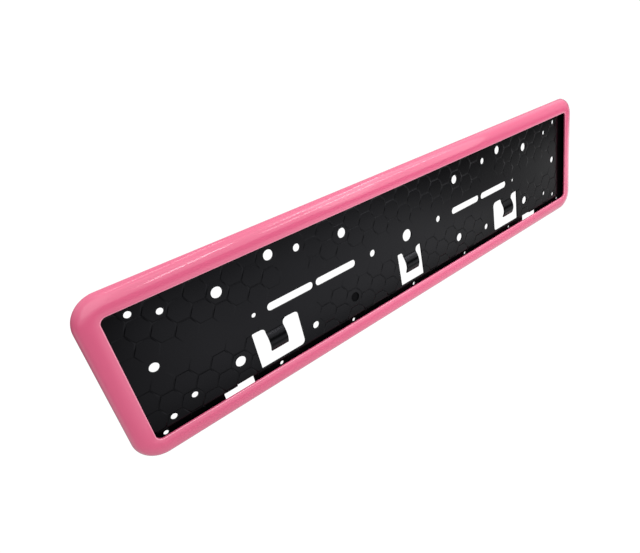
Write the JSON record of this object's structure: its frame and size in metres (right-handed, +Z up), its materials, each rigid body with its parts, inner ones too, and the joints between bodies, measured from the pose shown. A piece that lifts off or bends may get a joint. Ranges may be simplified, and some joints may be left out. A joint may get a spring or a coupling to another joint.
{
  "type": "number plate holder",
  "caption": "Flat car number plate holder: a black base sheet with screw holes, slots and spring tongues, and a crowned pink bezel that snaps over its rim and laps the plate's edges",
  "frame": {"origin": "the middle of the four corner screw holes, on the plane of the back face", "axes": "+X along the plate's width, +Y out of the back toward the car, +Z up the plate; the plate is read from -Y"},
  "size_m": [0.5382, 0.007, 0.1266],
  "materials": {
    "base_black": "satin, with a fine moulded grain",
    "bezel_pink": "glossy, smooth"
  },
  "bodies": {
    "root": {"base_plate": "base_black", "front_bezel": "bezel_pink"}
  },
  "joints": []
}
